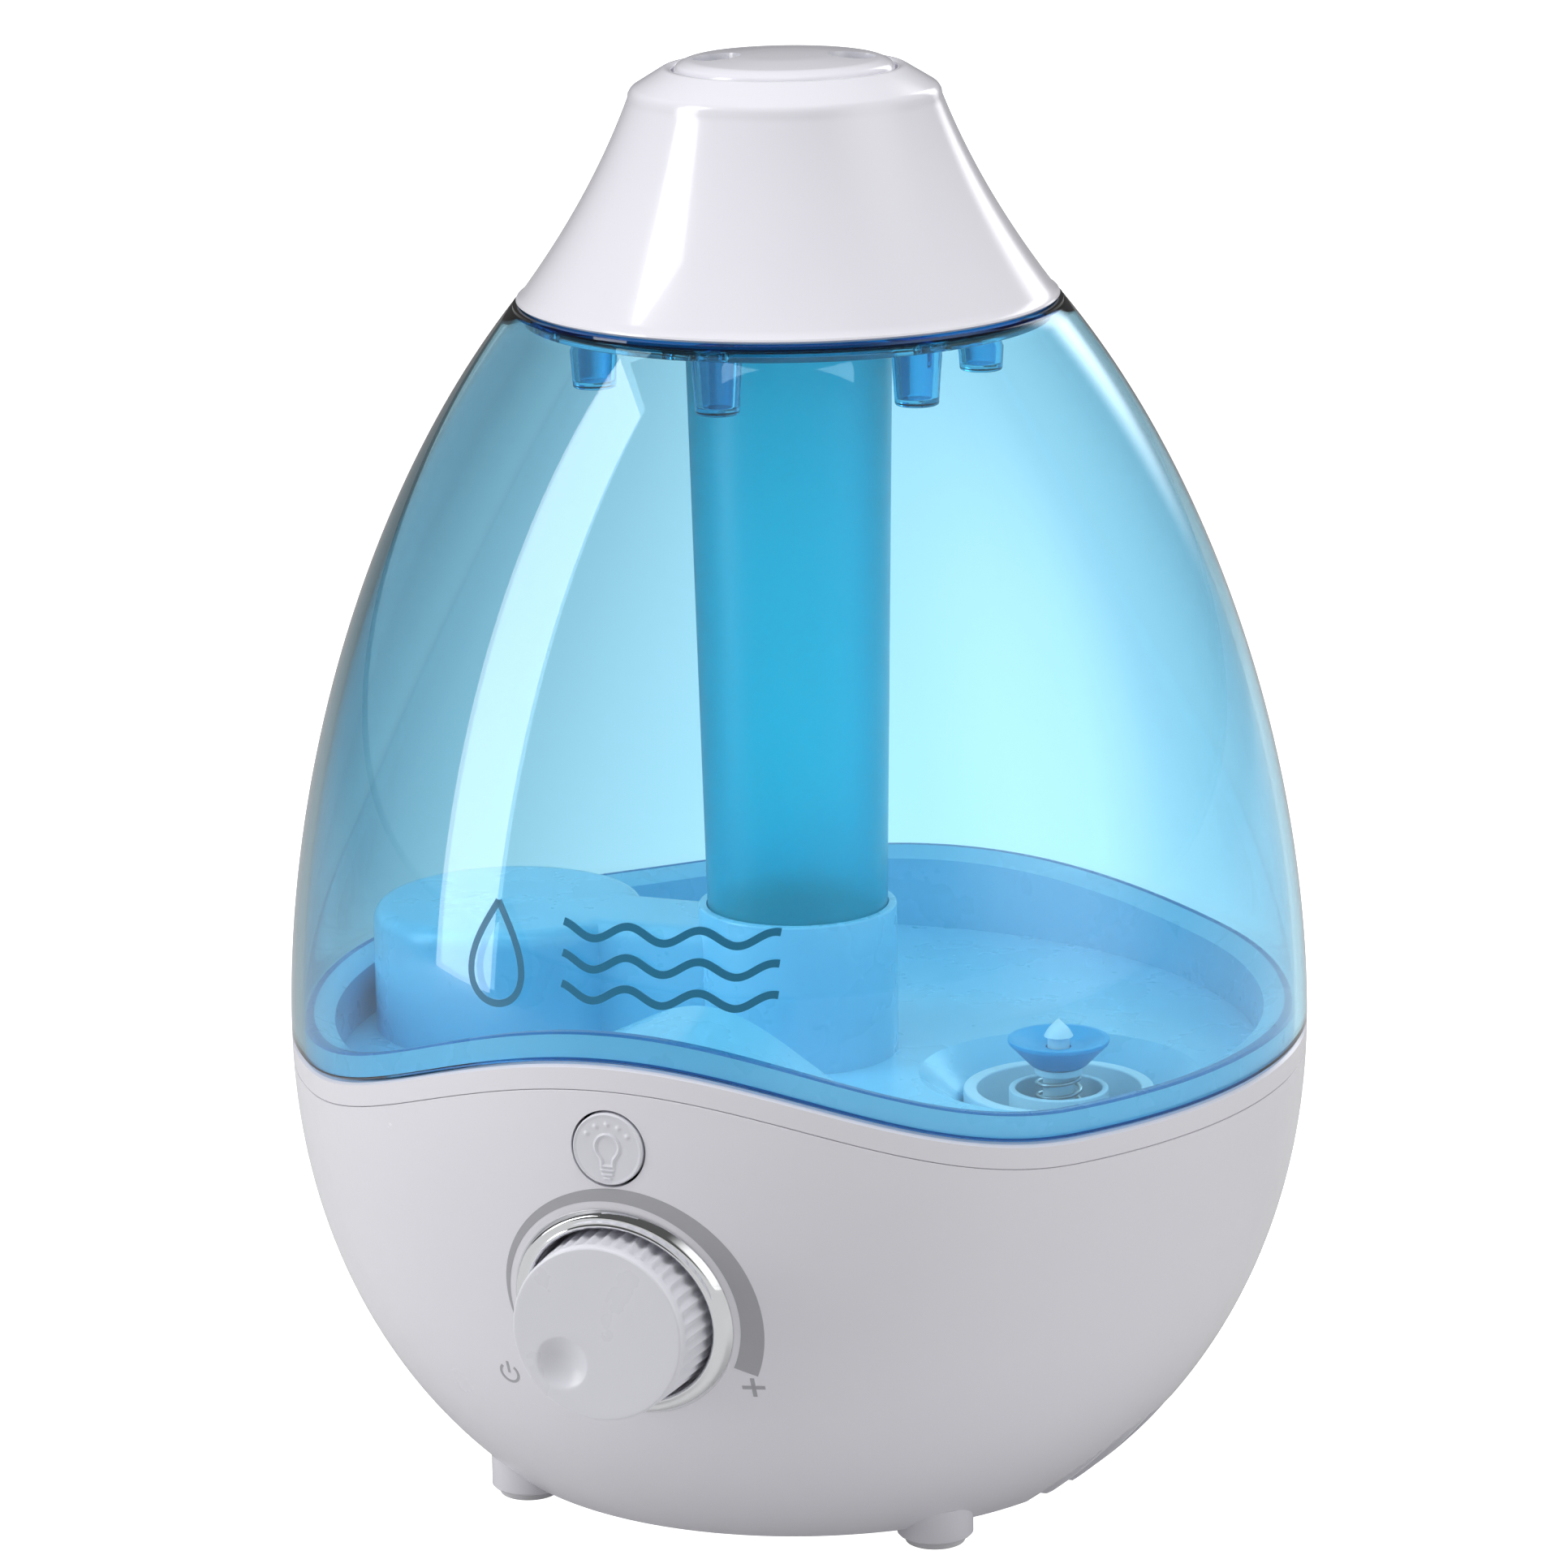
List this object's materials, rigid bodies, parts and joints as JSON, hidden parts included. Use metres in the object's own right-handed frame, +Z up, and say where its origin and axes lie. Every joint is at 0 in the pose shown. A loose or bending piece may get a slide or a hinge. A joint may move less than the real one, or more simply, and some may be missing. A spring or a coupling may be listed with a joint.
{
  "type": "cool mist humidifier",
  "caption": "Teardrop cool mist humidifier: clear blue water tank with mist chimney on a white bowl base with mist knob and light button.",
  "frame": {"origin": "centre of the footprint on the floor, knob included; the body's own axis is 4 mm behind it", "axes": "+Z up, the control panel faces -Y, the filling cap and valve are towards +X"},
  "size_m": [0.212, 0.22, 0.297],
  "materials": {
    "white_plastic": "glossy moulded, faint orange peel",
    "blue_clear_plastic": "clear tinted moulded plastic, polished",
    "blue_milky_plastic": "milky translucent moulding",
    "led_clear": "clear lens",
    "blue_silicone": "satin",
    "float_plastic": "satin",
    "grey_rubber": "matte",
    "chrome": "mirror",
    "steel": "zinc plated",
    "aluminium": "cast",
    "brass": "plated crystal",
    "circuit_board": "solder mask",
    "black_plastic": "fine texture",
    "grey_plastic": "fine texture"
  },
  "bodies": {
    "base": {"base_housing": "white_plastic", "base_cover": "white_plastic", "base_deck": "white_plastic", "foot_pad_1": "grey_rubber", "foot_pad_2": "grey_rubber", "foot_pad_3": "grey_rubber", "foot_pad_4": "grey_rubber", "cover_screw_1": "steel", "cover_screw_2": "steel", "cover_screw_3": "steel", "cover_screw_4": "steel", "knob_bezel": "chrome", "pot_body": "black_plastic", "control_board": "circuit_board", "light_switch": "black_plastic", "light_window": "blue_clear_plastic", "led_board": "circuit_board", "led_left": "led_clear", "led_right": "led_clear", "transducer_seal": "grey_rubber", "transducer_disc": "brass", "transducer_holder": "aluminium", "driver_board": "circuit_board", "heat_sink": "aluminium", "power_board": "circuit_board", "transformer": "black_plastic", "cord_gland": "black_plastic", "fan_housing": "black_plastic", "air_duct": "grey_plastic", "reed_switch": "black_plastic"},
    "knob": {"mist_knob": "white_plastic", "pot_shaft": "steel"},
    "button": {"light_button": "white_plastic"},
    "float": {"water_float": "float_plastic", "float_magnet": "black_plastic"},
    "fan": {"fan_rotor": "black_plastic"},
    "tank": {"tank_shell": "blue_clear_plastic", "tank_floor": "blue_milky_plastic", "tank_top_plate": "blue_clear_plastic", "mist_chimney": "blue_clear_plastic"},
    "filler": {"fill_cap": "white_plastic", "fill_cap_gasket": "grey_rubber", "valve_spring": "steel"},
    "valve": {"valve_stem": "white_plastic", "valve_seal": "blue_silicone"},
    "cap": {"mist_cap": "white_plastic"},
    "nozzle": {"mist_nozzle": "white_plastic"}
  },
  "joints": [
    {"name": "tank_lift", "type": "slide", "parent": "base", "child": "tank", "axis": [0, 0, 1], "range_m": [0, 0.15]},
    {"name": "cap_lift", "type": "slide", "parent": "tank", "child": "cap", "axis": [0, 0, 1], "range_m": [0, 0.1]},
    {"name": "nozzle_turn", "type": "hinge", "parent": "cap", "child": "nozzle", "pos_m": [0, 0.004, 0.29], "axis": [0, 0, 1], "continuous": true},
    {"name": "filler_turn", "type": "hinge", "parent": "tank", "child": "filler", "pos_m": [0.057, 0.004, 0.075], "axis": [0, 0, 1], "range_deg": [0, 120]},
    {"name": "valve_slide", "type": "slide", "parent": "filler", "child": "valve", "axis": [0, 0, 1], "range_m": [-0.0074, 0], "stiffness_N_per_m": 60, "springref_m": -0.0074, "deforming": ["valve_spring"]},
    {"name": "knob_turn", "type": "hinge", "parent": "base", "child": "knob", "pos_m": [0, -0.1, 0.0622], "axis": [0, 1, 0], "range_deg": [0, 270]},
    {"name": "button_press", "type": "slide", "parent": "base", "child": "button", "axis": [0, 1, 0], "range_m": [0, 0.0012], "stiffness_N_per_m": 800},
    {"name": "float_rise", "type": "slide", "parent": "base", "child": "float", "axis": [0, 0, 1], "range_m": [0, 0.015]},
    {"name": "fan_spin", "type": "hinge", "parent": "base", "child": "fan", "pos_m": [-0.044, 0.053, 0.058], "axis": [0, 0, 1], "continuous": true}
  ],
  "couplings": [
    {"joint": "valve_slide", "follows": "tank_lift", "ratio": -0.049}
  ]
}
